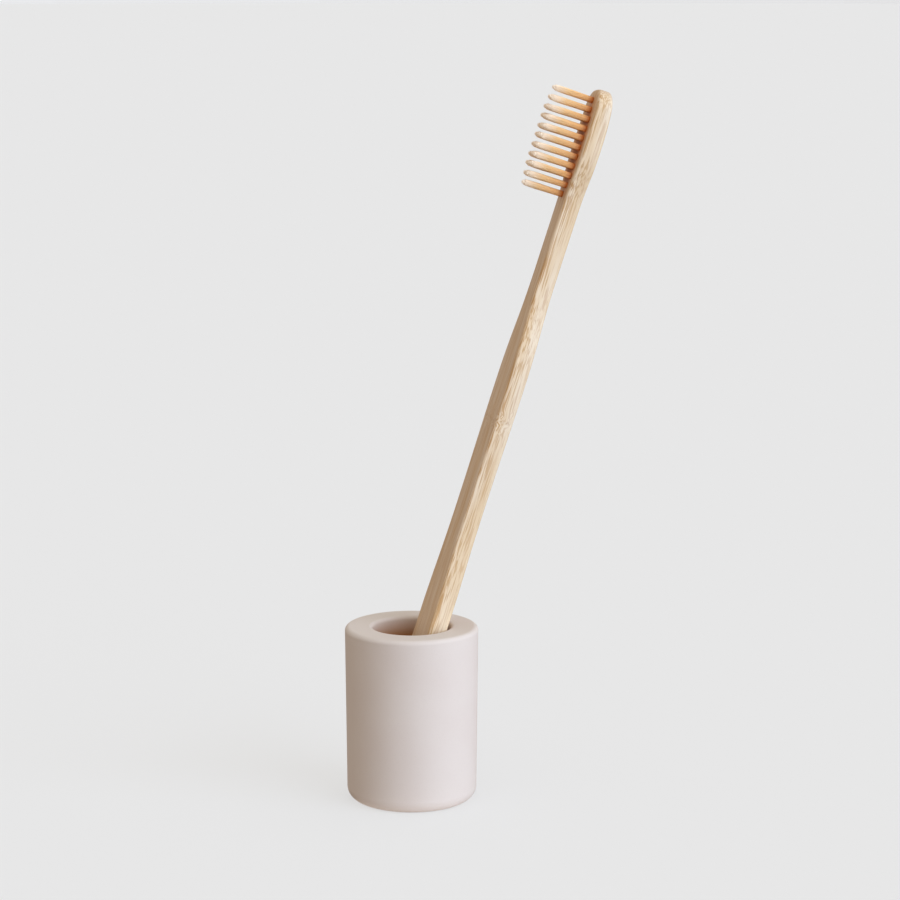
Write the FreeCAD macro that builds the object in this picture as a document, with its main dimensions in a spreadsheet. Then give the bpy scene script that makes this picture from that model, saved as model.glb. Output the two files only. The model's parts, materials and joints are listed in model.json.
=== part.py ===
import FreeCAD, Part
import os

import Sketcher

# A cast toothbrush holder and the bamboo toothbrush that leans in its bore.
# Millimetres, +Z up, origin at the middle of the holder's base. The brush leans towards +X.

# Driving dimensions
SIZES = {
    # Holder, turned about Z
    "rim_radius": 17.5,
    "base_radius": 17.05,
    "holder_height": 46.55,
    "bore_radius": 10.2,
    "floor_thickness": 12.3,
    "base_round": 3.4,
    "rim_round": 1.2,
    "mouth_round": 1.0,
    "floor_round": 2.0,
    # Bamboo slat: its widths, and the lengths of its stretches from the butt to the tip
    "slat_thickness": 4.9,
    "edge_round": 0.8,
    "butt_width": 13.5,
    "waist_width": 10.6,
    "grip_width": 11.8,
    "neck_width": 6.6,
    "head_width": 10.6,
    "head_taper": 0.3,
    "butt_corner": 5.0,
    "butt_length": 35.9,
    "waist_run": 32.0,
    "grip_run": 33.5,
    "shoulder_run": 31.0,
    "neck_run": 16.7,
    "flare_run": 16.3,
    "tip_run": 15.9,
    # Side view of the head's end: its back sweeps forward and its front has a short round nose
    "sweep_run": 13.0,
    "sweep_drop": 1.0,
    "nose_run": 1.6,
    "nose_drop": 1.4,
    # Bristle tufts and the holes that they stand in
    "row_pitch": 2.53,
    "lane_pitch": 2.2,
    "tuft_diameter": 1.7,
    "tuft_tip_diameter": 0.9,
    "bristle_length": 11.8,
    "taper_length": 1.8,
    "hole_depth": 3.2,
    "fold_thickness": 0.5,
    # Flat metal anchors that hold the folded tufts in their holes
    "anchor_length": 2.1,
    "anchor_thickness": 0.25,
    "anchor_height": 1.2,
    # Clearances
    "seat_gap": 0.2,
    "tuft_clearance": 0.05,
    "anchor_clearance": 0.05,
    "cut_overrun": 1.0,
}

# Sizes and places that follow from the driving dimensions
FITS = {
    # Places along the slat, from the butt
    "waist_place": "Sizes.butt_length + Sizes.waist_run",
    "grip_place": "waist_place + Sizes.grip_run",
    "neck_start": "grip_place + Sizes.shoulder_run",
    "neck_end": "neck_start + Sizes.neck_run",
    "head_place": "neck_end + Sizes.flare_run",
    "brush_length": "head_place + Sizes.tip_run",
    # The head's long arc meets the round tip where both have the same tangent
    "tip_round": "Sizes.head_width / 2 - Sizes.head_taper",
    "tip_centre": "Sizes.tip_run - tip_round",
    "head_arc": "((Sizes.head_width / 2)^2 + tip_centre^2 - tip_round^2) / (2 * Sizes.head_taper)",
    "tip_join_scale": "tip_round / (head_arc - tip_round)",
    "tip_join_half": "tip_join_scale * (head_arc - Sizes.head_width / 2)",
    "tip_join_place": "head_place + tip_centre * (1 + tip_join_scale)",
    # The slat's rounded edges lie against the bore: how far from the axis its back comes to rest
    "edge_circle": "Sizes.bore_radius - Sizes.seat_gap - Sizes.edge_round",
    "rim_reach": "Sizes.edge_round + sqrt(edge_circle^2 - (Sizes.butt_width / 2 - Sizes.edge_round)^2)",
    # Lean of a slat whose back rests below the mouth round and whose front foots the far wall.
    # The slat's slanted thickness depends on the lean, so the lean is worked out in three steps.
    "seat_height": "Sizes.holder_height - Sizes.mouth_round",
    "seat_drop": "seat_height - Sizes.floor_thickness - Sizes.seat_gap",
    "lean_first": "atan((2 * rim_reach - Sizes.slat_thickness) / seat_drop)",
    "lean_second": "atan((2 * rim_reach - Sizes.slat_thickness * cos(lean_first)) / seat_drop)",
    "lean": "atan((2 * rim_reach - Sizes.slat_thickness * cos(lean_second)) / seat_drop)",
    # The butt's rounded back edge stands a seat gap above the bore's floor
    "foot_lift": "Sizes.seat_gap - Sizes.edge_round * (sin(lean) + cos(lean) - 1)",
    "foot_z": "Sizes.floor_thickness + foot_lift",
    "foot_x": "rim_reach - (seat_height - foot_z) * tan(lean)",
    # Tufts and anchors, measured out from the slat's back
    "tuft_radius": "Sizes.tuft_diameter / 2",
    "hole_radius": "tuft_radius + Sizes.tuft_clearance",
    "hole_floor": "Sizes.slat_thickness - Sizes.hole_depth",
    "tuft_foot": "hole_floor + Sizes.tuft_clearance",
    "tuft_height": "Sizes.hole_depth - Sizes.tuft_clearance + Sizes.bristle_length",
    "window_floor": "Sizes.fold_thickness",
    "window_height": "Sizes.anchor_height + 2 * Sizes.anchor_clearance",
    "window_width": "Sizes.anchor_thickness + 2 * Sizes.anchor_clearance",
    "slot_length": "Sizes.anchor_length + 2 * Sizes.anchor_clearance",
    "slot_foot": "tuft_foot + window_floor",
    "anchor_foot": "slot_foot + Sizes.anchor_clearance",
}

# Tufts stand in rows across the head; a lane is given as a share of the lane pitch
SINGLE_LANE_SHARES = {"centre": 0}
PAIR_LANE_SHARES = {"left": -0.5, "right": 0.5}
TRIPLE_LANE_SHARES = {"left": -1, "centre": 0, "right": 1}
TRIPLE_ROWS = 7
END_ROWS = [SINGLE_LANE_SHARES, PAIR_LANE_SHARES]
ROW_LANE_SHARES = END_ROWS + TRIPLE_ROWS * [TRIPLE_LANE_SHARES] + END_ROWS[::-1]

TOLERANCE = 1e-6

doc = FreeCAD.newDocument("ToothbrushHolder")


def make_sheet(name, cells):
    """Add a spreadsheet with one aliased row for each named value."""
    sheet = doc.addObject("Spreadsheet::Sheet", name)
    for row, (alias, content) in enumerate(cells.items(), start=1):
        sheet.set(f"A{row}", alias)
        sheet.set(f"B{row}", content)
        sheet.setAlias(f"B{row}", alias)
    doc.recompute()
    return sheet


def value(expression):
    """The number that an expression on the sheets gives."""
    result = sizes.evalExpression(expression)
    return getattr(result, "Value", result)


def bind(obj, **expressions):
    """Tie properties of an object to expressions on the sheets."""
    for name, expression in expressions.items():
        obj.setExpression(name, expression)


def origin_plane(body, role):
    """One of a body's own origin planes."""
    return next(plane for plane in body.Origin.OriginFeatures if plane.Role == role)


def new_sketch(body, name, role):
    """An empty sketch on one of the body's origin planes."""
    sketch = body.newObject("Sketcher::SketchObject", name)
    sketch.AttachmentSupport = [(origin_plane(body, role), "")]
    sketch.MapMode = "FlatFace"
    return sketch


class Outline:
    """A closed outline in a sketch, drawn from point to point; every point is tied to the sheets."""

    def __init__(self, sketch, x, y):
        self.sketch = sketch
        self.start = (x, y)
        self.point = FreeCAD.Vector(value(x), value(y), 0)
        self.heading = None
        self.first = None
        self.last = None

    def pin(self, index, end, x, y):
        """Hold one end of an element at the place that two expressions give."""
        for kind, axis, expression in (("DistanceX", -2, x), ("DistanceY", -1, y)):
            distance = value(expression)
            if abs(distance) < TOLERANCE:
                self.sketch.addConstraint(Sketcher.Constraint("PointOnObject", index, end, axis))
                continue
            if distance > 0:
                constraint = Sketcher.Constraint(kind, -1, 1, index, end, distance)
            else:
                constraint = Sketcher.Constraint(kind, index, end, -1, 1, -distance)
                expression = f"-({expression})"
            number = self.sketch.addConstraint(constraint)
            self.sketch.setExpression(f"Constraints[{number}]", expression)

    def join(self, kind, index, end):
        """Join a new element to the one before it, or pin the first one where the outline starts."""
        if self.last is None:
            self.first = (index, end)
            self.pin(index, end, *self.start)
        else:
            self.sketch.addConstraint(Sketcher.Constraint(kind, *self.last, index, end))

    def add_line(self, target):
        """Draw a straight element and join it to the outline."""
        index = self.sketch.addGeometry(Part.LineSegment(self.point, target))
        self.join("Coincident", index, 1)
        self.heading = (target - self.point).normalize()
        self.point = target
        self.last = (index, 2)
        return index

    def line_to(self, x, y):
        """A straight element to the given point."""
        index = self.add_line(FreeCAD.Vector(value(x), value(y), 0))
        self.pin(index, 2, x, y)
        return self

    def arc_to(self, x, y):
        """An arc to the given point that leaves the element before it smoothly."""
        target = FreeCAD.Vector(value(x), value(y), 0)
        chord = target - self.point
        left = FreeCAD.Vector(-self.heading.y, self.heading.x, 0)
        radius = chord.dot(chord) / (2 * chord.dot(left))
        centre = self.point + left * radius
        circle = Part.Circle(centre, FreeCAD.Vector(0, 0, 1), abs(radius))
        ends = [circle.parameter(self.point), circle.parameter(target)]
        turns_left = radius > 0
        first, final = (1, 2) if turns_left else (2, 1)
        index = self.sketch.addGeometry(Part.ArcOfCircle(circle, *(ends if turns_left else ends[::-1])))
        self.join("Tangent", index, first)
        self.pin(index, final, x, y)
        self.heading = chord * (2 * chord.dot(self.heading) / chord.dot(chord)) - self.heading
        self.point = target
        self.last = (index, final)
        return self

    def s_curve_to(self, x, y, from_x, from_y):
        """Two equal arcs that step from one width to another and leave along the slat."""
        self.arc_to(f"(({from_x}) + ({x})) / 2", f"(({from_y}) + ({y})) / 2")
        return self.arc_to(x, y)

    def close(self):
        """A straight element back to where the outline started."""
        index = self.add_line(FreeCAD.Vector(value(self.start[0]), value(self.start[1]), 0))
        self.sketch.addConstraint(Sketcher.Constraint("Coincident", index, 2, *self.first))


def revolve(body, sketch, name):
    """Turn a sketch's outline about the body's Z axis."""
    revolution = body.newObject("PartDesign::Revolution", name)
    revolution.Profile = sketch
    revolution.ReferenceAxis = (sketch, ["V_Axis"])
    revolution.Angle = 360
    doc.recompute()
    return revolution


def fillet(body, name, feature, edges, radius):
    """Round the given edges of a feature."""
    rounded = body.newObject("PartDesign::Fillet", name)
    rounded.Base = (feature, edges)
    bind(rounded, Radius=radius)
    doc.recompute()
    return rounded


def edge_names(feature, wanted):
    """Names of a feature's edges that pass a test."""
    return [f"Edge{number}" for number, edge in enumerate(feature.Shape.Edges, start=1) if wanted(edge)]


def ring_edge(feature, radius, height):
    """Name of the circular edge with the given radius at the given height."""
    def wanted(edge):
        """Whether an edge is that circle."""
        if not isinstance(edge.Curve, Part.Circle):
            return False
        off_radius = abs(edge.Curve.Radius - value(radius))
        off_height = abs(edge.Curve.Center.z - value(height))
        return max(off_radius, off_height) < TOLERANCE
    return edge_names(feature, wanted)


def build_holder():
    """The cast holder: a thick-walled cup, slightly wider at the rim, with every edge rounded."""
    body = doc.addObject("PartDesign::Body", "holder_body")
    sketch = new_sketch(body, "holder_profile", "XZ_Plane")
    outline = Outline(sketch, "0", "0")
    outline.line_to("Sizes.base_radius", "0")
    outline.line_to("Sizes.rim_radius", "Sizes.holder_height")
    outline.line_to("Sizes.bore_radius", "Sizes.holder_height")
    outline.line_to("Sizes.bore_radius", "Sizes.floor_thickness")
    outline.line_to("0", "Sizes.floor_thickness")
    outline.close()
    cup = revolve(body, sketch, "holder_turned")
    rounds = {
        "base_round": ("Sizes.base_radius", "0"),
        "rim_round": ("Sizes.rim_radius", "Sizes.holder_height"),
        "mouth_round": ("Sizes.bore_radius", "Sizes.holder_height"),
        "floor_round": ("Sizes.bore_radius", "Sizes.floor_thickness"),
    }
    for name, (radius, height) in rounds.items():
        cup = fillet(body, f"holder_{name}", cup, ring_edge(cup, radius, height), f"Sizes.{name}")
    return body


def cut_through(body, sketch, name):
    """Cut a sketch's outlines through the whole body, both ways from the sketch."""
    pocket = body.newObject("PartDesign::Pocket", name)
    pocket.Profile = sketch
    pocket.Type = "ThroughAll"
    pocket.SideType = "Symmetric"
    return pocket


def draw_head_corner(sketch, face, outward, run, drop):
    """Outline the waste beyond an arc that leaves the slat's front or back and ends at the tip."""
    clear = f"{face} + ({outward}) * Sizes.cut_overrun"
    inside = f"{face} - ({outward}) * {drop}"
    low = f"Fits.brush_length - {run} - Sizes.cut_overrun"
    high = "Fits.brush_length + Sizes.cut_overrun"
    outline = Outline(sketch, face, low)
    outline.line_to(face, f"Fits.brush_length - {run}")
    outline.arc_to(inside, "Fits.brush_length")
    outline.line_to(inside, high)
    outline.line_to(clear, high)
    outline.line_to(clear, low)
    outline.close()


def build_slat():
    """The bamboo slat before drilling: upright, butt at the origin, back on X = 0, bristles at -X."""
    body = doc.addObject("PartDesign::Body", "slat")
    sketch = new_sketch(body, "slat_half_outline", "YZ_Plane")
    stations = {
        "butt": ("Sizes.butt_width / 2", "Sizes.butt_length"),
        "waist": ("Sizes.waist_width / 2", "Fits.waist_place"),
        "grip": ("Sizes.grip_width / 2", "Fits.grip_place"),
        "neck_start": ("Sizes.neck_width / 2", "Fits.neck_start"),
        "neck_end": ("Sizes.neck_width / 2", "Fits.neck_end"),
        "head": ("Sizes.head_width / 2", "Fits.head_place"),
    }
    outline = Outline(sketch, "0", "0")
    outline.line_to("Sizes.butt_width / 2 - Sizes.butt_corner", "0")
    outline.arc_to("Sizes.butt_width / 2", "Sizes.butt_corner")
    outline.line_to(*stations["butt"])
    outline.s_curve_to(*stations["waist"], *stations["butt"])
    outline.s_curve_to(*stations["grip"], *stations["waist"])
    outline.s_curve_to(*stations["neck_start"], *stations["grip"])
    outline.line_to(*stations["neck_end"])
    outline.s_curve_to(*stations["head"], *stations["neck_end"])
    outline.arc_to("Fits.tip_join_half", "Fits.tip_join_place")
    outline.arc_to("0", "Fits.brush_length")
    outline.close()

    half = body.newObject("PartDesign::Pad", "slat_half")
    half.Profile = sketch
    half.Reversed = True
    bind(half, Length="Sizes.slat_thickness")
    doc.recompute()
    whole = body.newObject("PartDesign::Mirrored", "slat_whole")
    whole.Originals = [half]
    whole.MirrorPlane = (origin_plane(body, "XZ_Plane"), [""])
    whole.Refine = True
    body.Tip = whole
    doc.recompute()

    corners = new_sketch(body, "head_corners", "XZ_Plane")
    draw_head_corner(corners, "0", "1", "Sizes.sweep_run", "Sizes.sweep_drop")
    draw_head_corner(corners, "-Sizes.slat_thickness", "-1", "Sizes.nose_run", "Sizes.nose_drop")
    shaped = cut_through(body, corners, "slat_shaped")
    doc.recompute()

    def is_long_edge(edge):
        """Whether an edge runs round the slat's front or back."""
        box = edge.BoundBox
        runs_through = max(box.YLength, box.ZLength) < TOLERANCE
        is_smooth_seam = box.ZLength < TOLERANCE < box.ZMin
        return not (runs_through or is_smooth_seam)

    fillet(body, "slat_edge_round", shaped, edge_names(shaped, is_long_edge), "Sizes.edge_round")
    return body


def place_on_brush(obj, along, across, outward, turn):
    """Set an object on the leaning brush: along it, across it and out from its back."""
    x = f"Fits.foot_x + ({along}) * sin(Fits.lean) - ({outward}) * cos(Fits.lean)"
    z = f"Fits.foot_z + ({along}) * cos(Fits.lean) + ({outward}) * sin(Fits.lean)"
    bind(obj, Placement=f"placement(vector({x}; {across}; {z}); rotation(vector(0; 1; 0); {turn}))")


def place_on_slat(obj, along, across, outward):
    """Set an object on the upright slat, pointing out of its front."""
    turn = "rotation(vector(0; 1; 0); -90)"
    bind(obj, Placement=f"placement(vector(-({outward}); {across}; {along}); {turn})")


def tuft_stations():
    """Each tuft's name with its expressions for the place along and across the brush."""
    middle = (len(ROW_LANE_SHARES) - 1) / 2
    for row, lane_shares in enumerate(ROW_LANE_SHARES):
        along = f"Fits.head_place + ({row - middle}) * Sizes.row_pitch"
        for lane, share in lane_shares.items():
            yield f"{row + 1:02d}_{lane}", along, f"({share}) * Sizes.lane_pitch"


def centred(place, length):
    """The low end of a length that is centred on a place."""
    return f"{place} - {length} / 2"


def cut(name, base, tools):
    """Cut a group of separate tool solids out of a base object."""
    group = doc.addObject("Part::Compound", f"{name}_tools")
    group.Links = tools
    result = doc.addObject("Part::Cut", name)
    result.Base = base
    result.Tool = group
    result.Refine = False
    doc.recompute()
    return result


def build_handle():
    """The drilled slat: a blind hole for each tuft, widened at its foot for the anchor's two ends."""
    holes = []
    slots = []
    for station, along, across in tuft_stations():
        hole = doc.addObject("Part::Cylinder", f"hole_{station}")
        bind(hole, Radius="Fits.hole_radius", Height="Sizes.hole_depth + Sizes.cut_overrun")
        place_on_slat(hole, along, across, "Fits.hole_floor")
        holes.append(hole)
        slot = doc.addObject("Part::Box", f"slot_{station}")
        bind(slot, Length="Fits.slot_length", Width="Fits.window_width", Height="Fits.window_height")
        low_end = centred(along, "Fits.slot_length")
        place_on_slat(slot, low_end, centred(across, "Fits.window_width"), "Fits.slot_foot")
        slots.append(slot)
    drilled = cut("drilled_slat", build_slat(), holes)
    handle = cut("brush_handle", drilled, slots)
    place_on_brush(handle, "0", "0", "0", "Fits.lean")
    return handle


def build_tuft(station, along, across):
    """A tuft of bristles, folded round its anchor: a round bundle, tapered at the tip."""
    body = doc.addObject("PartDesign::Body", f"tuft_{station}")
    profile = new_sketch(body, f"tuft_profile_{station}", "XZ_Plane")
    outline = Outline(profile, "0", "0")
    outline.line_to("Fits.tuft_radius", "0")
    outline.line_to("Fits.tuft_radius", "Fits.tuft_height - Sizes.taper_length")
    outline.arc_to("Sizes.tuft_tip_diameter / 2", "Fits.tuft_height")
    outline.line_to("0", "Fits.tuft_height")
    outline.close()
    revolve(body, profile, f"tuft_bundle_{station}")

    opening = new_sketch(body, f"tuft_window_{station}", "YZ_Plane")
    side = "Fits.window_width / 2"
    top = "Fits.window_floor + Fits.window_height"
    outline = Outline(opening, f"-{side}", "Fits.window_floor")
    outline.line_to(side, "Fits.window_floor")
    outline.line_to(side, top)
    outline.line_to(f"-{side}", top)
    outline.close()
    cut_through(body, opening, f"tuft_fold_{station}")
    place_on_brush(body, along, across, "Fits.tuft_foot", "Fits.lean - 90 deg")
    return body


def build_anchor(station, along, across):
    """The flat metal clip that a tuft is folded round."""
    anchor = doc.addObject("Part::Box", f"anchor_{station}")
    bind(anchor, Length="Sizes.anchor_length", Width="Sizes.anchor_thickness", Height="Sizes.anchor_height")
    low_end = centred(along, "Sizes.anchor_length")
    low_side = centred(across, "Sizes.anchor_thickness")
    place_on_brush(anchor, low_end, low_side, "Fits.anchor_foot", "Fits.lean - 90 deg")
    return anchor


def check_model(sub_parts):
    """Stop if an object failed or a sub-part isn't one sound solid."""
    for obj in doc.Objects:
        if "Invalid" in obj.State or "Error" in obj.State:
            raise RuntimeError(f"{obj.Name} failed: {obj.State}")
    for part in sub_parts:
        if part.Shape.isNull() or not part.Shape.isValid() or len(part.Shape.Solids) != 1:
            raise RuntimeError(f"{part.Label} isn't one sound solid")


sizes = make_sheet("Sizes", {alias: str(number) for alias, number in SIZES.items()})
make_sheet("Fits", {alias: f"={formula}" for alias, formula in FITS.items()})

sub_parts = [build_holder(), build_handle()]
for tuft_station in tuft_stations():
    sub_parts.append(build_tuft(*tuft_station))
    sub_parts.append(build_anchor(*tuft_station))
doc.recompute()
check_model(sub_parts)

os.makedirs("parts", exist_ok=True)
for sub_part in sub_parts:
    sub_part.Shape.exportStep(f"parts/{sub_part.Label}.step")
print(f"{len(sub_parts)} sub-parts, brush {value('Fits.brush_length'):.1f} long, lean {value('Fits.lean'):.2f}")
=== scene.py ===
"""Looks of a cast stoneware toothbrush holder and the bamboo toothbrush that leans in its bore.

Everything is in metres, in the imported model's own frame: +Z up, the origin in the middle of the
holder's base, the brush leaning towards +X.
"""

import json
import logging
import math
import random
from collections.abc import Callable, Iterator, Mapping, Sequence
from dataclasses import dataclass, field
from enum import Enum
from typing import Any

import bmesh
import bpy
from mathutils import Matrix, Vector


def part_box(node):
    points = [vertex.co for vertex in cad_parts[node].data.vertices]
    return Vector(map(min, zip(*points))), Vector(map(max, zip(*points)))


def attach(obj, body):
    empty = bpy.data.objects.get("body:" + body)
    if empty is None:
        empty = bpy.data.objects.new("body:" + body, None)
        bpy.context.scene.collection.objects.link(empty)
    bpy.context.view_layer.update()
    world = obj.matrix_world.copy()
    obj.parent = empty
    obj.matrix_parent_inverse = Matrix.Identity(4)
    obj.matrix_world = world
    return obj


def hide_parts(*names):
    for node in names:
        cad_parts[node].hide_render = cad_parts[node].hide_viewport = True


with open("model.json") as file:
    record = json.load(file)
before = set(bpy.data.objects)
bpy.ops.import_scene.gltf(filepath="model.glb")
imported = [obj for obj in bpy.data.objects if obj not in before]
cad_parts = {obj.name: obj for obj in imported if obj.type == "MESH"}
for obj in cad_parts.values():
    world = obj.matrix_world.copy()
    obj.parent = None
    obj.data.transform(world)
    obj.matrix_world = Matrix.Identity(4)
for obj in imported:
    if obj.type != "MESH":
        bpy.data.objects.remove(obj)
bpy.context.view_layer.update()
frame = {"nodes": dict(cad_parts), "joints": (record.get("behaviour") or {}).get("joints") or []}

MM = 0.001
# From a tuft's foot, down in its hole, out to the slat's face
FACE_MM = 3.15
LOG = logging.getLogger("toothbrush_holder")


class Body(Enum):
    """The two bodies that move apart when the brush is lifted."""

    HOLDER = "holder"
    BRUSH = "brush"


class Slot(Enum):
    """The record's material slot for the bristle nylon."""

    NYLON = "bristle_nylon"


# Shader helpers


def linear(hex_colour: str) -> tuple[float, float, float, float]:
    """Turn an sRGB hex colour into linear RGBA.

    Args:
        hex_colour: The colour as "#RRGGBB".

    Returns:
        Red, green, blue and an alpha of 1, as the shader sockets take them.
    """
    channels = [int(hex_colour[place:place + 2], 16) / 255 for place in (1, 3, 5)]
    # The curve and its numbers are those of the sRGB standard
    red, green, blue = (c / 12.92 if c <= 0.04045 else ((c + 0.055) / 1.055) ** 2.4 for c in channels)
    return red, green, blue, 1.0


def add_node(
    tree: bpy.types.NodeTree,
    kind: str,
    settings: Mapping[str | int, Any] | None = None,
    links: Mapping[str | int, bpy.types.NodeSocket] | None = None,
    stops: Sequence[tuple[float, str]] = (),
    output: str | int = 0,
) -> bpy.types.NodeSocket | None:
    """Add a shader node, set it up and link its inputs.

    Args:
        tree: The node tree that gets the node.
        kind: The node's type, without its "ShaderNode" prefix.
        settings: Values by input name or number, or by the name of the node's own setting.
        links: Output sockets by the name or number of the input that each one feeds.
        stops: Places and hex colours, for a colour ramp.
        output: The name or number of the output that is wanted.

    Returns:
        The wanted output socket, or None for an output node.
    """
    node = tree.nodes.new(f"ShaderNode{kind}")
    for name, value in (settings or {}).items():
        if isinstance(name, int) or name in node.inputs:
            node.inputs[name].default_value = value
        else:
            setattr(node, name, value)
    for name, socket in (links or {}).items():
        tree.links.new(socket, node.inputs[name])
    if stops:
        ramp = node.color_ramp.elements
        while len(ramp) < len(stops):
            ramp.new(1.0)
        for element, (place, colour) in zip(ramp, stops):
            element.position = place
            element.color = linear(colour)
    return node.outputs[output] if node.outputs else None


def new_material(name: str) -> tuple[bpy.types.Material, bpy.types.NodeTree]:
    """Start a material with an empty node tree.

    Args:
        name: The material's name.

    Returns:
        The material and its node tree.
    """
    material = bpy.data.materials.new(name)
    material.use_nodes = True
    material.node_tree.nodes.clear()
    return material, material.node_tree


def wear(piece: bpy.types.Object, material: bpy.types.Material) -> None:
    """Give a whole piece one material."""
    piece.data.materials.clear()
    piece.data.materials.append(material)


# The leaning brush's own frame


@dataclass(frozen=True)
class BrushFrame:
    """Where the brush lies: its lean, and the foot of its middle tuft as the zero point."""

    tuft_radius: float = 0.85 * MM
    middle_tuft: str = "tuft_06_centre"
    along: Vector = field(default_factory=lambda: Vector(frame["joints"][0]["axis"]).normalized())

    @property
    def lean(self) -> float:
        """How far the brush leans from upright, in radians."""
        return math.atan2(self.along.x, self.along.z)

    @property
    def outward(self) -> Vector:
        """The way the bristles point."""
        return Vector((-math.cos(self.lean), 0.0, math.sin(self.lean)))

    def tuft_foot(self, node: str) -> Vector:
        """The middle of a tuft's round foot, in its hole.

        Args:
            node: The tuft's CAD node.

        Returns:
            The point, worked out from the corners of the node's box.
        """
        low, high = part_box(node)
        x = high.x - self.tuft_radius * math.sin(self.lean)
        z = low.z + self.tuft_radius * math.cos(self.lean)
        return Vector((x, (low.y + high.y) / 2, z))

    def in_millimetres(self, tree: bpy.types.NodeTree) -> bpy.types.NodeSocket:
        """Object coordinates turned into the brush's frame, in millimetres from the zero point.

        Args:
            tree: The node tree that needs them.

        Returns:
            A socket with X towards the back, Y across and Z along the brush to its tip.
        """
        place = add_node(tree, "TexCoord", output="Object")
        turned = {
            "vector_type": "TEXTURE",
            "Location": self.tuft_foot(self.middle_tuft),
            "Rotation": (0.0, self.lean, 0.0),
            "Scale": (MM, MM, MM),
        }
        return add_node(tree, "Mapping", turned, {"Vector": place})


# Finishes


@dataclass(frozen=True)
class CastStoneware:
    """Unglazed stoneware, slip cast and sponged smooth.

    A dead matt, chalky surface: an almost even body colour with faint clouds, fine grit and a
    few open pores. Down the bore the clay is painted browner and darker, more so the deeper it goes:
    painted shade in the hollow.
    """

    pale: str = "#DDD4CD"
    deep: str = "#DBD1CA"
    grit: str = "#B9A999"
    # Painted shade down the bore: a browner, darker tone that deepens below the mouth
    bore_shade: str = "#B98250"
    bore_shade_share: float = 0.95
    bore_shade_depth_mm: float = 5.0
    bore_radius_mm: float = 10.2
    mouth_mm: float = 46.55
    # How far outside the bore's wall the painted shade starts to show, and where it shows fully
    bore_shade_starts_mm: float = 0.9
    bore_shade_full_mm: float = 0.1
    # The bore's floor is higher than this, and the underside of the base is lower
    underside_mm: float = 5.0
    cloud_mm: float = 14.0
    cloud_detail: float = 4.0
    cloud_span: tuple[float, float] = (0.35, 0.65)
    # The real grit is under 0.1 mm; it is drawn coarser so that it shows
    grit_mm: float = 0.35
    grit_detail: float = 3.0
    grit_harshness: float = 0.7
    # The noise at which a speck starts to show, and at which it shows fully
    grit_starts: float = 0.56
    grit_full: float = 0.72
    grit_share: float = 0.12
    pore_mm: float = 0.9
    # How far a pore's floor and its mouth reach from its middle, as shares of the pores' spacing
    pore_floor: float = 0.08
    pore_mouth: float = 0.2
    # The grit's height, as a share of the pores' depth
    grit_height: float = 0.5
    relief_mm: float = 0.02
    relief_strength: float = 0.25
    roughness: float = 0.88
    roughness_spread: float = 0.06
    ior: float = 1.5
    specular: float = 0.3

    def bore_shading(self, tree: bpy.types.NodeTree, place: bpy.types.NodeSocket) -> bpy.types.NodeSocket:
        """The share of painted shade: none outside, more and more down the bore.

        Args:
            tree: The material's node tree.
            place: Object coordinates, in metres.

        Returns:
            The painted shade's share.
        """
        level = add_node(tree, "VectorMath", {"operation": "MULTIPLY", 1: (1.0, 1.0, 0.0)}, {0: place})
        off_axis = add_node(tree, "VectorMath", {"operation": "LENGTH"}, {0: level}, output="Value")
        height = add_node(tree, "SeparateXYZ", links={"Vector": place}, output="Z")
        past_wall = {
            "From Min": (self.bore_radius_mm + self.bore_shade_starts_mm) * MM,
            "From Max": (self.bore_radius_mm + self.bore_shade_full_mm) * MM,
        }
        inside = add_node(tree, "MapRange", past_wall, {"Value": off_axis})
        downwards = {
            "From Min": self.mouth_mm * MM,
            "From Max": (self.mouth_mm - self.bore_shade_depth_mm) * MM,
            "To Max": self.bore_shade_share,
        }
        depth = add_node(tree, "MapRange", downwards, {"Value": height})
        above = add_node(
            tree, "Math", {"operation": "GREATER_THAN", 1: self.underside_mm * MM}, {0: height},
        )
        in_bore = add_node(tree, "Math", {"operation": "MULTIPLY"}, {0: inside, 1: above})
        return add_node(tree, "Math", {"operation": "MULTIPLY"}, {0: in_bore, 1: depth})

    def material(self) -> bpy.types.Material:
        """Build the node material.

        Returns:
            The material.
        """
        material, tree = new_material("cast_stoneware")
        place = add_node(tree, "TexCoord", output="Object")
        cloudy = {"Scale": 1 / (self.cloud_mm * MM), "Detail": self.cloud_detail}
        cloud = add_node(tree, "TexNoise", cloudy, {"Vector": place})
        shades = list(zip(self.cloud_span, (self.deep, self.pale)))
        colour = add_node(tree, "ValToRGB", links={"Fac": cloud}, stops=shades)
        gritty = {
            "Scale": 1 / (self.grit_mm * MM), "Detail": self.grit_detail, "Roughness": self.grit_harshness,
        }
        grain = add_node(tree, "TexNoise", gritty, {"Vector": place})
        specked = {"From Min": self.grit_starts, "From Max": self.grit_full, "To Max": self.grit_share}
        specks = add_node(tree, "MapRange", specked, {"Value": grain})
        # Fine grit specks, then the painted shade down the bore
        for tone, share in ((self.grit, specks), (self.bore_shade, self.bore_shading(tree, place))):
            coat = {"data_type": "RGBA", 7: linear(tone)}
            colour = add_node(tree, "Mix", coat, {0: share, 6: colour}, output=2)

        cells = add_node(tree, "TexVoronoi", {"Scale": 1 / (self.pore_mm * MM)}, {"Vector": place})
        pitted = {"From Min": self.pore_floor, "From Max": self.pore_mouth}
        pores = add_node(tree, "MapRange", pitted, {"Value": cells})
        height = add_node(
            tree, "Math", {"operation": "MULTIPLY_ADD", 1: self.grit_height}, {0: grain, 2: pores},
        )
        relief = {"Strength": self.relief_strength, "Distance": self.relief_mm * MM}
        bump = add_node(tree, "Bump", relief, {"Height": height})
        uneven = {
            "To Min": self.roughness - self.roughness_spread,
            "To Max": self.roughness + self.roughness_spread,
        }
        rough = add_node(tree, "MapRange", uneven, {"Value": grain})
        shader = add_node(
            tree, "BsdfPrincipled", {"IOR": self.ior, "Specular IOR Level": self.specular},
            {"Base Color": colour, "Roughness": rough, "Normal": bump},
        )
        add_node(tree, "OutputMaterial", links={"Surface": shader})
        return material


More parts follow.
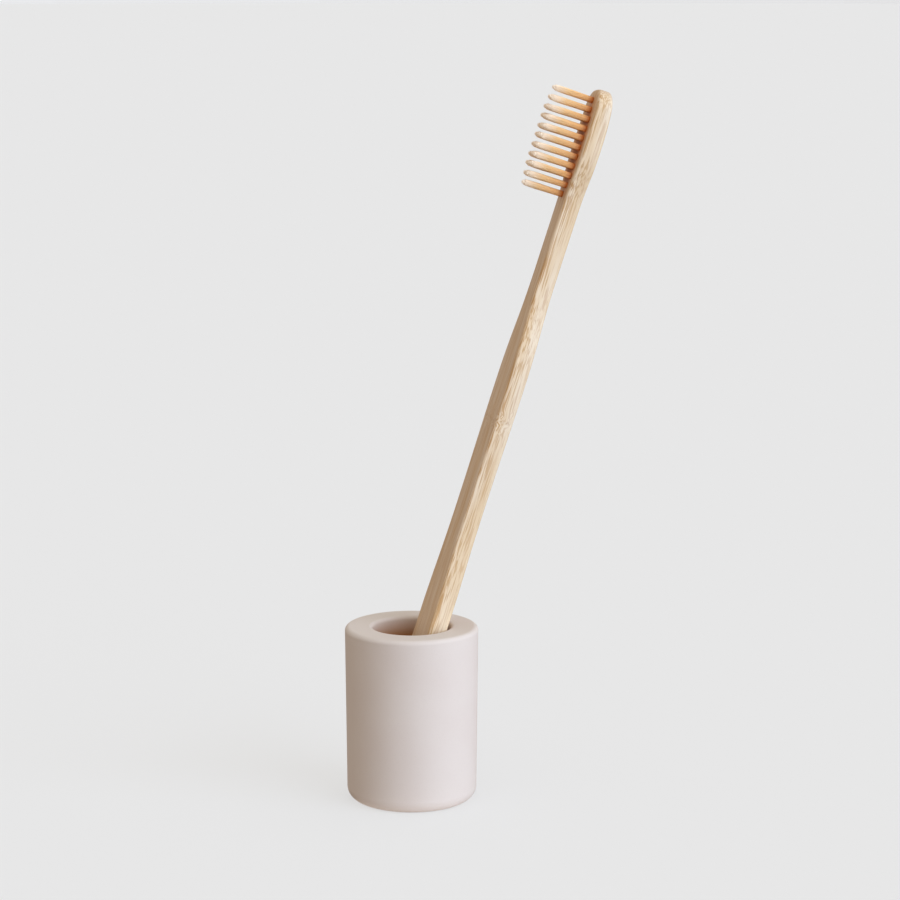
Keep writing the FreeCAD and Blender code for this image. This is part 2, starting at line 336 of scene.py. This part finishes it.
@dataclass(frozen=True)
class SandedBamboo:
    """A bamboo slat, planed, sanded and waxed.

    Pale straw with tan fibre bundles that run along it, short dashes where the shaped sides cut
    through them, a line of painted shade along the rounded edges where the face meets the sides,
    painted amber light bounced from the bristles round their roots, and a joint of the stem
    where the fibres swirl.
    """

    straw: str = "#ECDDC5"
    honey: str = "#E3CCA9"
    fibre: str = "#B98A50"
    edge_shade: str = "#B5834C"
    # Painted shade along the rounded edges where the face turns into the sides
    joint_line: str = "#9C7145"
    toast: str = "#B98660"
    # Painted light: the amber that the bristles bounce onto the face round their roots
    amber: str = "#D8780C"
    fibre_mm: float = 0.34
    fibre_run_mm: float = 9.0
    # The noise at which a fibre starts to show, and at which it shows fully
    fibre_starts: float = 0.47
    fibre_full: float = 0.62
    bundle_mm: float = 0.55
    bundle_run_mm: float = 22.0
    # How far a bundle's core and its edge reach from its middle, as shares of the bundles' spacing
    bundle_core: float = 0.1
    bundle_edge: float = 0.45
    bundle_share: float = 0.35
    drift_mm: float = 3.0
    drift_run_mm: float = 45.0
    drift_span: tuple[float, float] = (0.35, 0.62)
    grain_detail: float = 2.0
    # The fibres crowd towards the rind, and the planed faces show fewer of them than the sides
    fibre_share: float = 0.9
    back_share: float = 0.2
    face_share: float = 0.4
    back_mm: float = 1.75
    # The planed faces are a little browner than the sides
    toast_share: float = 0.3
    # How far a surface turns sideways, from 0 to 1, where a face ends and where a side begins
    face_ends: float = 0.3
    side_begins: float = 0.7
    # The oval of the face round the tufts, painted with amber light that the bristles bounce onto it
    amber_bounce_share: float = 0.8
    amber_bounce_depth_mm: float = 0.6
    drilled_half_mm: float = 14.8
    drilled_side_mm: float = 4.7
    # The share of the oval's reach from which the cast fades
    drilled_core: float = 0.5
    # The stem's joint, along from the middle tuft's foot
    joint_mm: float = -73.3
    joint_reach_mm: float = 4.5
    joint_swirl_mm: float = 1.5
    swirls_per_mm: float = 0.42
    swirl_detail: float = 1.0
    line_half_mm: float = 0.5
    line_share: float = 0.12
    line_wave_mm: float = 2.6
    waves_per_mm: float = 0.55
    # The line of painted shade on the rounded front edges, in from the slat's face
    edge_shade_depth_mm: float = 0.3
    edge_shade_half_mm: float = 0.36
    edge_shade_share: float = 0.3
    relief_mm: float = 0.03
    relief_strength: float = 0.35
    roughness: float = 0.5
    fibre_roughness: float = 0.65
    ior: float = 1.5
    specular: float = 0.35

    def grown(
        self, tree: bpy.types.NodeTree, place: bpy.types.NodeSocket, nearness: bpy.types.NodeSocket,
    ) -> bpy.types.NodeSocket:
        """Bend the grain round the stem's joint.

        Args:
            tree: The material's node tree.
            place: The brush's own coordinates.
            nearness: How near the joint is, from 0 to 1.

        Returns:
            The coordinates that the fibres follow.
        """
        swirled = {"Scale": self.swirls_per_mm, "Detail": self.swirl_detail}
        swirl = add_node(tree, "TexNoise", swirled, {"Vector": place}, output="Color")
        # The noise runs from 0 to 1, so it is centred, and half of it reaches each way
        centred = add_node(tree, "VectorMath", {"operation": "SUBTRACT", 1: (0.5, 0.5, 0.5)}, {0: swirl})
        push = add_node(
            tree, "Math", {"operation": "MULTIPLY", 1: 2 * self.joint_swirl_mm}, {0: nearness},
        )
        shift = add_node(tree, "VectorMath", {"operation": "SCALE"}, {0: centred, "Scale": push})
        return add_node(tree, "VectorMath", {"operation": "ADD"}, {0: place, 1: shift})

    def drawn_out(
        self, tree: bpy.types.NodeTree, place: bpy.types.NodeSocket, kind: str, width: float, run: float,
        settings: Mapping[str, Any] | None = None,
    ) -> bpy.types.NodeSocket:
        """Draw a texture out along the slat.

        Args:
            tree: The material's node tree.
            place: The coordinates to draw it in, in millimetres.
            kind: The texture node's type.
            width: The pattern's size across the slat, in millimetres.
            run: The pattern's size along the slat, in millimetres.
            settings: The texture's other settings.

        Returns:
            The texture's first output.
        """
        scale = (1 / width, 1 / width, 1 / run)
        drawn = add_node(tree, "Mapping", {"Scale": scale}, {"Vector": place})
        return add_node(tree, kind, {"Scale": 1.0, **(settings or {})}, {"Vector": drawn})

    def band(
        self, tree: bpy.types.NodeTree, value: bpy.types.NodeSocket, middle: float, half: float,
        share: float,
    ) -> bpy.types.NodeSocket:
        """A soft band round one value of a coordinate.

        Args:
            tree: The material's node tree.
            value: The coordinate.
            middle: The value in the middle of the band.
            half: Half the band's width.
            share: The band's strength in its middle.

        Returns:
            The strength, which falls to 0 at the band's edges.
        """
        away = add_node(tree, "Math", {"operation": "SUBTRACT", 1: middle}, {0: value})
        distance = add_node(tree, "Math", {"operation": "ABSOLUTE"}, {0: away})
        fall = {"interpolation_type": "SMOOTHSTEP", "From Max": half, "To Min": share, "To Max": 0.0}
        return add_node(tree, "MapRange", fall, {"Value": distance})

    def by_side(self, tree: bpy.types.NodeTree, on_face: float, on_side: float) -> bpy.types.NodeSocket:
        """A value that is one number on the slat's planed faces and another on its sides.

        Args:
            tree: The material's node tree.
            on_face: The number on the front and back.
            on_side: The number on the sides.

        Returns:
            The value, which changes over on the rounded edges.
        """
        normal = add_node(tree, "TexCoord", output="Normal")
        across = add_node(tree, "SeparateXYZ", links={"Vector": normal}, output="Y")
        sideways = add_node(tree, "Math", {"operation": "ABSOLUTE"}, {0: across})
        change = {
            "From Min": self.face_ends, "From Max": self.side_begins,
            "To Min": on_face, "To Max": on_side,
        }
        return add_node(tree, "MapRange", change, {"Value": sideways})

    def drilled(self, tree: bpy.types.NodeTree, place: bpy.types.NodeSocket) -> bpy.types.NodeSocket:
        """Painted amber light bounced from the bristles: how far a point of the face lies among the tufts.

        Args:
            tree: The material's node tree.
            place: The brush's own coordinates.

        Returns:
            The share of painted amber bounce light.
        """
        depth = add_node(tree, "SeparateXYZ", links={"Vector": place}, output="X")
        share = self.band(tree, depth, -FACE_MM, self.amber_bounce_depth_mm, self.amber_bounce_share)
        squeeze = (0.0, 1 / self.drilled_side_mm, 1 / self.drilled_half_mm)
        oval = add_node(tree, "VectorMath", {"operation": "MULTIPLY", 1: squeeze}, {0: place})
        outwards = add_node(tree, "VectorMath", {"operation": "LENGTH"}, {0: oval}, output="Value")
        fade = {"From Min": self.drilled_core, "To Min": 1.0, "To Max": 0.0}
        among = add_node(tree, "MapRange", fade, {"Value": outwards})
        return add_node(tree, "Math", {"operation": "MULTIPLY"}, {0: share, 1: among})

    def fibres(self, tree: bpy.types.NodeTree, grown: bpy.types.NodeSocket) -> bpy.types.NodeSocket:
        """Where the dark fibres run: fine streaks, and the cores of their bundles.

        Args:
            tree: The material's node tree.
            grown: The coordinates that the fibres follow.

        Returns:
            How dark the fibres make a point, from 0 to 1.
        """
        fine = self.drawn_out(
            tree, grown, "TexNoise", self.fibre_mm, self.fibre_run_mm, {"Detail": self.grain_detail},
        )
        streaked = {"From Min": self.fibre_starts, "From Max": self.fibre_full}
        streaks = add_node(tree, "MapRange", streaked, {"Value": fine})
        cores = self.drawn_out(tree, grown, "TexVoronoi", self.bundle_mm, self.bundle_run_mm)
        bundled = {
            "From Min": self.bundle_core, "From Max": self.bundle_edge,
            "To Min": self.bundle_share, "To Max": 0.0,
        }
        bundles = add_node(tree, "MapRange", bundled, {"Value": cores})
        return add_node(tree, "Math", {"operation": "ADD", "use_clamp": True}, {0: bundles, 1: streaks})

    def fibres_shown(
        self, tree: bpy.types.NodeTree, dark: bpy.types.NodeSocket, depth: bpy.types.NodeSocket,
    ) -> bpy.types.NodeSocket:
        """How much of the fibres shows: most near the rind, and more on the sides.

        Args:
            tree: The material's node tree.
            dark: How dark the fibres are, from 0 to 1.
            depth: The coordinate from the slat's face to its back.

        Returns:
            The fibre colour's share.
        """
        crowded = {
            "From Min": -FACE_MM, "From Max": self.back_mm,
            "To Min": self.fibre_share, "To Max": self.fibre_share * self.back_share,
        }
        crowding = add_node(tree, "MapRange", crowded, {"Value": depth})
        there = add_node(tree, "Math", {"operation": "MULTIPLY"}, {0: dark, 1: crowding})
        in_view = self.by_side(tree, self.face_share, 1.0)
        return add_node(tree, "Math", {"operation": "MULTIPLY"}, {0: there, 1: in_view})

    def stem_line(
        self, tree: bpy.types.NodeTree, place: bpy.types.NodeSocket, height: bpy.types.NodeSocket,
    ) -> bpy.types.NodeSocket:
        """The wavy line that the stem's joint leaves round the slat.

        Args:
            tree: The material's node tree.
            place: The brush's own coordinates.
            height: The coordinate along the brush.

        Returns:
            The line's share.
        """
        waved = {"Scale": self.waves_per_mm, "Detail": self.grain_detail}
        wave = add_node(tree, "TexNoise", waved, {"Vector": place})
        wavy = add_node(
            tree, "Math", {"operation": "MULTIPLY_ADD", 1: self.line_wave_mm}, {0: wave, 2: height},
        )
        middle = self.joint_mm + self.line_wave_mm / 2
        return self.band(tree, wavy, middle, self.line_half_mm, self.line_share)

    def material(self, brush: BrushFrame) -> bpy.types.Material:
        """Build the node material.

        Args:
            brush: The brush's own frame, along which the fibres run.

        Returns:
            The material.
        """
        material, tree = new_material("sanded_bamboo")
        place = brush.in_millimetres(tree)
        depth = add_node(tree, "SeparateXYZ", links={"Vector": place}, output="X")
        height = add_node(tree, "SeparateXYZ", links={"Vector": place}, output="Z")
        nearness = self.band(tree, height, self.joint_mm, self.joint_reach_mm, 1.0)
        grown = self.grown(tree, place, nearness)
        dark = self.fibres(tree, grown)

        drift = self.drawn_out(
            tree, grown, "TexNoise", self.drift_mm, self.drift_run_mm, {"Detail": self.grain_detail},
        )
        shades = list(zip(self.drift_span, (self.honey, self.straw)))
        colour = add_node(tree, "ValToRGB", links={"Fac": drift}, stops=shades)
        edge_shade_middle = self.edge_shade_depth_mm - FACE_MM
        coats = (
            (self.toast, self.by_side(tree, self.toast_share, 0.0)),
            (self.fibre, self.fibres_shown(tree, dark, depth)),
            # Painted amber bounce light among the tufts
            (self.amber, self.drilled(tree, place)),
            # Painted shade along the front edges' rounding
            (self.edge_shade, self.band(tree, depth, edge_shade_middle, self.edge_shade_half_mm, self.edge_shade_share)),
            (self.joint_line, self.stem_line(tree, place, height)),
        )
        for tone, share in coats:
            coat = {"data_type": "RGBA", 7: linear(tone)}
            colour = add_node(tree, "Mix", coat, {0: share, 6: colour}, output=2)

        relief = {"Strength": self.relief_strength, "Distance": self.relief_mm * MM, "invert": True}
        bump = add_node(tree, "Bump", relief, {"Height": dark})
        uneven = {"To Min": self.roughness, "To Max": self.fibre_roughness}
        rough = add_node(tree, "MapRange", uneven, {"Value": dark})
        shader = add_node(
            tree, "BsdfPrincipled", {"IOR": self.ior, "Specular IOR Level": self.specular},
            {"Base Color": colour, "Roughness": rough, "Normal": bump},
        )
        add_node(tree, "OutputMaterial", links={"Surface": shader})
        return material


@dataclass(frozen=True)
class TintedNylon:
    """Extruded nylon strands, tinted amber, with their cut ends rounded.

    Deeper amber at the root, as painted shade where the strands crowd together, and paler and nearly clear
    at the tips, as painted light that shines through their ends.
    """

    # The deep root colour is painted shade among the crowded strands; the pale tip colour is painted light
    # through the clear ends
    root: str = "#CE6C14"
    shank: str = "#ECB26C"
    middle: str = "#F1C88C"
    tip: str = "#FFF4E4"
    # Where along the bristles each of the four colours is reached
    places: tuple[float, ...] = (0.0, 0.14, 0.6, 1.0)
    length_mm: float = 11.8
    strand_mm: float = 0.2
    strand_run_mm: float = 10.0
    strand_detail: float = 1.0
    # The noise at the dullest and at the brightest strands, and how bright those are
    dull_noise: float = 0.3
    bright_noise: float = 0.7
    dullest: float = 0.88
    brightest: float = 1.08
    # Clear strands carry light along to their ends: a faint glow of the tips stands in for it
    glow_from: float = 0.72
    glow: float = 0.09
    roughness: float = 0.4
    ior: float = 1.53

    def material(self, brush: BrushFrame) -> bpy.types.Material:
        """Build the node material.

        Args:
            brush: The brush's own frame, in which the bristles stand out along -X.

        Returns:
            The material.
        """
        material, tree = new_material("tinted_nylon")
        place = brush.in_millimetres(tree)
        depth = add_node(tree, "SeparateXYZ", links={"Vector": place}, output="X")
        outwards = {"From Min": -FACE_MM, "From Max": -FACE_MM - self.length_mm}
        out = add_node(tree, "MapRange", outwards, {"Value": depth})
        colours = (self.root, self.shank, self.middle, self.tip)
        fade = add_node(tree, "ValToRGB", links={"Fac": out}, stops=list(zip(self.places, colours)))
        fineness = 1 / self.strand_mm
        drawn = add_node(
            tree, "Mapping", {"Scale": (1 / self.strand_run_mm, fineness, fineness)}, {"Vector": place},
        )
        strand = add_node(tree, "TexNoise", {"Scale": 1.0, "Detail": self.strand_detail}, {"Vector": drawn})
        varied = {
            "From Min": self.dull_noise, "From Max": self.bright_noise,
            "To Min": self.dullest, "To Max": self.brightest,
        }
        bright = add_node(tree, "MapRange", varied, {"Value": strand})
        colour = add_node(tree, "HueSaturation", links={"Value": bright, "Color": fade})
        at_tip = {"From Min": self.glow_from, "To Max": self.glow}
        glow = add_node(tree, "MapRange", at_tip, {"Value": out})
        shader = add_node(
            tree, "BsdfPrincipled", {"Roughness": self.roughness, "IOR": self.ior},
            {"Base Color": colour, "Emission Color": fade, "Emission Strength": glow},
        )
        add_node(tree, "OutputMaterial", links={"Surface": shader})
        return material


@dataclass(frozen=True)
class DrawnBrass:
    """Flat brass wire, cut to length: warm yellow metal with fine lines along the wire."""

    light: str = "#D8B566"
    dark: str = "#B98F3E"
    line_mm: float = 0.05
    line_span: tuple[float, float] = (0.3, 0.7)
    line_detail: float = 2.0
    roughness: float = 0.35

    def material(self, brush: BrushFrame) -> bpy.types.Material:
        """Build the node material.

        Args:
            brush: The brush's own frame, along which the wire lies.

        Returns:
            The material.
        """
        material, tree = new_material("drawn_brass")
        scale = (1 / self.line_mm, 1 / self.line_mm, 1.0)
        drawn = add_node(tree, "Mapping", {"Scale": scale}, {"Vector": brush.in_millimetres(tree)})
        lines = add_node(tree, "TexNoise", {"Scale": 1.0, "Detail": self.line_detail}, {"Vector": drawn})
        shades = list(zip(self.line_span, (self.dark, self.light)))
        colour = add_node(tree, "ValToRGB", links={"Fac": lines}, stops=shades)
        shader = add_node(
            tree, "BsdfPrincipled", {"Metallic": 1.0, "Roughness": self.roughness}, {"Base Color": colour},
        )
        add_node(tree, "OutputMaterial", links={"Surface": shader})
        return material


# Modelling helpers


def deselect_all() -> None:
    """Leave nothing selected in object mode."""
    bpy.ops.object.select_all(action="DESELECT")


def pick_points(piece: bpy.types.Object, wanted: Callable[[Vector], bool]) -> None:
    """In edit mode, select just the points that pass a test.

    Args:
        piece: The object in edit mode.
        wanted: The test on a point's place.
    """
    mesh = bmesh.from_edit_mesh(piece.data)
    for vertex in mesh.verts:
        vertex.select_set(wanted(vertex.co))
    mesh.select_flush_mode()
    bmesh.update_edit_mesh(piece.data)


def copy_of(piece: bpy.types.Object, name: str) -> bpy.types.Object:
    """Copy an object, with a mesh of its own.

    Args:
        piece: The object to copy.
        name: The copy's name.

    Returns:
        The copy, linked to the scene.
    """
    copy = piece.copy()
    copy.data = piece.data.copy()
    copy.name = name
    copy.data.name = name
    bpy.context.scene.collection.objects.link(copy)
    return copy


def settle(piece: bpy.types.Object) -> None:
    """Move an object's place, turn and scale into its mesh."""
    deselect_all()
    piece.select_set(True)
    bpy.context.view_layer.objects.active = piece
    bpy.ops.object.transform_apply(location=True, rotation=True, scale=True)
    piece.rotation_mode = "XYZ"


# Sub-assemblies


@dataclass
class Holder:
    """The cast holder, one piece."""

    node: str = "holder_body"
    finish: CastStoneware = field(default_factory=CastStoneware)

    def dress(self) -> None:
        """Give the CAD piece its stoneware."""
        wear(frame["nodes"][self.node], self.finish.material())
        LOG.info("dressed %s on the %s body", self.node, Body.HOLDER.value)


@dataclass(frozen=True)
class Level:
    """One level of a tuft: its height, and how thick the strands and the bundle are there.

    Every value is a share: of the tuft's length, a strand's thickness and the bundle's width.
    """

    height: float
    strand: float
    bundle: float


@dataclass
class Tufts:
    """The bristle tufts: bundles of fine strands that stand in the drilled head."""

    # The real strands are under 0.2 mm thick; these are drawn thicker, so that fewer fill a tuft
    strand_radius: float = 0.13 * MM
    strand_sides: int = 6
    ring_step: float = 0.235 * MM
    # Each ring of strands holds this many more than the one inside it
    ring_growth: int = 6
    root_depth: float = 1.3 * MM
    length: float = 11.45 * MM
    levels: tuple[Level, ...] = (
        Level(0.35, 1.0, 0.99), Level(0.7, 1.0, 1.05), Level(0.88, 1.0, 1.03), Level(1.0, 0.85, 0.95),
    )
    # How long the strands of each ring are, from the middle one outwards, so that the tip is round
    ring_lengths: tuple[float, ...] = (1.0, 1.0, 0.98, 0.94)
    length_spread: float = 0.02
    lean_spread: float = math.radians(0.6)
    # How far below a level its points may lie, as a share of the length
    level_slack: float = 0.01
    # Over the 60 degrees between a strand's sides, and under the 90 degrees at its end
    smooth_angle: float = math.radians(70.0)
    seed: int = 7
    finish: TintedNylon = field(default_factory=TintedNylon)

    def nodes(self) -> Iterator[str]:
        """The CAD nodes that the tufts stand for."""
        return (name for name in sorted(frame["nodes"]) if name.startswith("tuft_"))

    def build_strand(self) -> bpy.types.Object:
        """Model one strand: a thin prism drawn out of a hexagon, step by step, and thinner at its tip.

        Returns:
            The strand, upright, with the slat's face at height zero and its foot below that.
        """
        deselect_all()
        bpy.ops.mesh.primitive_circle_add(
            vertices=self.strand_sides, radius=self.strand_radius, fill_type="NGON",
            location=(0.0, 0.0, -self.root_depth),
        )
        strand = bpy.context.active_object
        settle(strand)
        bpy.ops.object.mode_set(mode="EDIT")
        bpy.ops.mesh.select_all(action="SELECT")
        reached = -self.root_depth
        thickness = 1.0
        for level in self.levels:
            rise = level.height * self.length - reached
            bpy.ops.mesh.extrude_region_move(TRANSFORM_OT_translate={"value": (0.0, 0.0, rise)})
            reached += rise
            shrink = level.strand / thickness
            bpy.ops.transform.resize(value=(shrink, shrink, 1.0), center_override=(0.0, 0.0, reached))
            thickness = level.strand
        bpy.ops.mesh.select_all(action="SELECT")
        bpy.ops.mesh.normals_make_consistent(inside=False)
        bpy.ops.object.mode_set(mode="OBJECT")
        return strand

    def strand_places(self) -> Iterator[tuple[float, float, float]]:
        """Places of a bundle's strands in rings of 1, 6, 12 and so on, and their lengths.

        Returns:
            Across, along and share of the length, one strand after another.
        """
        for ring, length in enumerate(self.ring_lengths):
            count = max(1, self.ring_growth * ring)
            for step in range(count):
                angle = step * math.tau / count
                reach = ring * self.ring_step
                yield reach * math.cos(angle), reach * math.sin(angle), length

    def build_bundle(self, draw: random.Random) -> bpy.types.Object:
        """Model one tuft: copies of a strand, of uneven length, that spread and then close at the tip.

        Args:
            draw: The source of the uneven lengths.

        Returns:
            The tuft, upright, with the slat's face at height zero.
        """
        strand = self.build_strand()
        strands = []
        for number, (x, y, length) in enumerate(self.strand_places()):
            copy = copy_of(strand, f"strand_{number:02d}")
            copy.location = (x, y, 0.0)
            copy.rotation_euler = (0.0, 0.0, draw.uniform(0.0, math.tau))
            copy.scale = (1.0, 1.0, length - draw.uniform(0.0, self.length_spread))
            settle(copy)
            strands.append(copy)
        bpy.data.objects.remove(strand)
        deselect_all()
        for copy in strands:
            copy.select_set(True)
        bpy.context.view_layer.objects.active = strands[0]
        bpy.ops.object.join()
        bundle = bpy.context.active_object
        bpy.ops.object.mode_set(mode="EDIT")
        shortest = min(self.ring_lengths) - self.length_spread
        width = 1.0
        for level in self.levels:
            low_end = (level.height * shortest - self.level_slack) * self.length
            pick_points(bundle, lambda point: point.z > low_end)
            spread = level.bundle / width
            bpy.ops.transform.resize(value=(spread, spread, 1.0), center_override=(0.0, 0.0, 0.0))
            width = level.bundle
        bpy.ops.object.mode_set(mode="OBJECT")
        bpy.ops.object.shade_smooth_by_angle(angle=self.smooth_angle)
        return bundle

    def build(self, brush: BrushFrame) -> None:
        """Stand a tuft in every hole and dress it.

        Args:
            brush: The brush's own frame.
        """
        draw = random.Random(self.seed)
        bundle = self.build_bundle(draw)
        nylon = self.finish.material(brush)
        upright = brush.lean - math.radians(90.0)
        for node in self.nodes():
            tuft = copy_of(bundle, node.replace("tuft", "bristles"))
            tuft.rotation_mode = "ZYX"
            tilts = [draw.uniform(-self.lean_spread, self.lean_spread) for _ in range(2)]
            tuft.rotation_euler = (tilts[0], upright + tilts[1], draw.uniform(0.0, math.tau))
            tuft.location = brush.tuft_foot(node) + FACE_MM * MM * brush.outward
            settle(tuft)
            wear(tuft, nylon)
            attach(tuft, Body.BRUSH.value)
            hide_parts(node)
            LOG.info("built %s", tuft.name)
        bpy.data.objects.remove(bundle)


@dataclass
class Brush:
    """The bamboo toothbrush: drilled slat, metal anchors and bristle tufts."""

    handle_node: str = "brush_handle"
    bamboo: SandedBamboo = field(default_factory=SandedBamboo)
    brass: DrawnBrass = field(default_factory=DrawnBrass)
    tufts: Tufts = field(default_factory=Tufts)
    place: BrushFrame = field(default_factory=BrushFrame)

    def dress_slat(self) -> None:
        """Give the slat its bamboo."""
        wear(frame["nodes"][self.handle_node], self.bamboo.material(self.place))
        LOG.info("dressed %s", self.handle_node)

    def dress_anchors(self) -> None:
        """Give the anchors, out of sight in their holes, their brass."""
        brass = self.brass.material(self.place)
        for name, node in frame["nodes"].items():
            if name.startswith("anchor_"):
                wear(node, brass)
                LOG.info("dressed %s", name)

    def build(self) -> None:
        """Build and dress the whole brush."""
        self.dress_slat()
        self.dress_anchors()
        self.tufts.build(self.place)


@dataclass
class Studio:
    """The photograph's setting: a pale floor and backdrop, and the light on the object.

    A wide cool key stands low on the right, the table throws some light back up at the holder's
    foot, and a warm fill comes from all round.
    """

    view_turn: float = math.radians(-14.0)
    view_drop: float = math.radians(10.28)
    camera_place: tuple[float, float, float] = (-0.16537, -0.70493, 0.2246)
    lens: float = 113.48
    sensor: float = 36.0
    # Near enough for a turned camera, which sees 10 m, and too far to show in the photograph's view
    floor_reach: float = 9.0
    floor_sides: int = 64
    backdrop_height: float = 6.0
    backdrop_drop: float = 0.01
    floor_grey: str = "#898989"
    floor_glow: str = "#FDFEFF"
    glow_strength: float = 0.595
    # The key stands to the right of the camera, as far round as the angle says
    key_round: float = math.radians(50.0)
    key_rise: float = math.radians(10.0)
    key_spread: float = math.radians(62.0)
    key_strength: float = 3.42
    key_colour: str = "#DBEAFF"
    # The lit table in front of the holder throws light back up at its foot
    bounce_round: float = math.radians(5.0)
    bounce_reach: float = 5.0 * MM
    bounce_size: float = 32.0 * MM
    bounce_lift: float = 0.3 * MM
    bounce_power: float = 0.0009
    # The fill is the room's light from above and the table's from below, with a soft step between
    sky: str = "#D9D2C9"
    ground: str = "#8F7A6A"
    horizon: float = 0.35

    def add_camera(self) -> None:
        """Stand the camera where the photograph was taken."""
        data = bpy.data.cameras.new("photo_camera")
        data.lens = self.lens
        data.sensor_width = self.sensor
        camera = bpy.data.objects.new("photo_camera", data)
        camera.location = self.camera_place
        camera.rotation_euler = (math.radians(90.0) - self.view_drop, 0.0, self.view_turn)
        bpy.context.scene.collection.objects.link(camera)
        bpy.context.scene.camera = camera

    def paper(self) -> bpy.types.Material:
        """Pale paper that glows a little, so that shadows on it stay faint.

        Returns:
            The material.
        """
        material, tree = new_material("pale_paper")
        matt = {"Base Color": linear(self.floor_grey), "Roughness": 1.0, "Specular IOR Level": 0.0}
        glowing = {"Emission Color": linear(self.floor_glow), "Emission Strength": self.glow_strength}
        shader = add_node(tree, "BsdfPrincipled", {**matt, **glowing})
        add_node(tree, "OutputMaterial", links={"Surface": shader})
        return material

    def add_sheet(self, name: str, height: float, paper: bpy.types.Material) -> bpy.types.Object:
        """Lay a level round sheet of paper that only the camera sees.

        Args:
            name: The sheet's name.
            height: The height it lies at.
            paper: Its material.

        Returns:
            The sheet.
        """
        deselect_all()
        bpy.ops.mesh.primitive_circle_add(
            vertices=self.floor_sides, radius=self.floor_reach, fill_type="NGON",
            location=(0.0, 0.0, height),
        )
        sheet = bpy.context.active_object
        sheet.name = name
        wear(sheet, paper)
        sheet.visible_diffuse = False
        sheet.visible_glossy = False
        return sheet

    def add_floor(self) -> None:
        """Lay the floor, and under it a backdrop that is turned up all round and lets the key through."""
        paper = self.paper()
        floor = self.add_sheet("floor", 0.0, paper)
        backdrop = self.add_sheet("backdrop", -self.backdrop_drop, paper)
        bpy.ops.object.mode_set(mode="EDIT")
        bpy.ops.mesh.select_mode(type="EDGE")
        bpy.ops.mesh.select_all(action="SELECT")
        bpy.ops.mesh.extrude_edges_move(TRANSFORM_OT_translate={"value": (0.0, 0.0, self.backdrop_height)})
        bpy.ops.mesh.select_mode(type="VERT")
        bpy.ops.object.mode_set(mode="OBJECT")
        backdrop.visible_shadow = False

    def add_key(self) -> None:
        """Hang the wide key light."""
        data = bpy.data.lights.new("key", "SUN")
        data.energy = self.key_strength
        data.angle = self.key_spread
        data.color = linear(self.key_colour)[:3]
        key = bpy.data.objects.new("key", data)
        key.rotation_euler = (math.radians(90.0) - self.key_rise, 0.0, self.view_turn + self.key_round)
        bpy.context.scene.collection.objects.link(key)

    def add_bounce(self) -> None:
        """Lay a round light that faces up on the floor in front of the holder."""
        data = bpy.data.lights.new("bounce", "AREA")
        data.shape = "DISK"
        data.size = self.bounce_size
        data.energy = self.bounce_power
        bounce = bpy.data.objects.new("bounce", data)
        turn = self.view_turn + self.bounce_round
        ahead = Vector((math.sin(turn), -math.cos(turn), 0.0))
        bounce.location = self.bounce_reach * ahead + Vector((0.0, 0.0, self.bounce_lift))
        bounce.rotation_euler = (math.radians(180.0), 0.0, 0.0)
        bounce.visible_camera = False
        bpy.context.scene.collection.objects.link(bounce)

    def add_fill(self) -> None:
        """Fill the room with warm light, more of it from above than from below."""
        world = bpy.data.worlds.new("studio")
        world.use_nodes = True
        tree = world.node_tree
        tree.nodes.clear()
        way = add_node(tree, "TexCoord", output="Generated")
        rise = add_node(tree, "SeparateXYZ", links={"Vector": way}, output="Z")
        step = {"interpolation_type": "SMOOTHSTEP", "From Min": -self.horizon, "From Max": self.horizon}
        above = add_node(tree, "MapRange", step, {"Value": rise})
        ends = {"data_type": "RGBA", 6: linear(self.ground), 7: linear(self.sky)}
        tone = add_node(tree, "Mix", ends, {0: above}, output=2)
        light = add_node(tree, "Background", links={"Color": tone})
        add_node(tree, "OutputWorld", links={"Surface": light})
        bpy.context.scene.world = world

    def build(self) -> None:
        """Set the stage."""
        bpy.context.scene.view_settings.view_transform = "Standard"
        self.add_camera()
        self.add_floor()
        self.add_key()
        self.add_bounce()
        self.add_fill()
        LOG.info("set the stage")


def main() -> None:
    """Build the pieces in order."""
    logging.basicConfig(level=logging.INFO)
    Studio().build()
    Holder().dress()
    Brush().build()


if __name__ == "__main__":
    main()
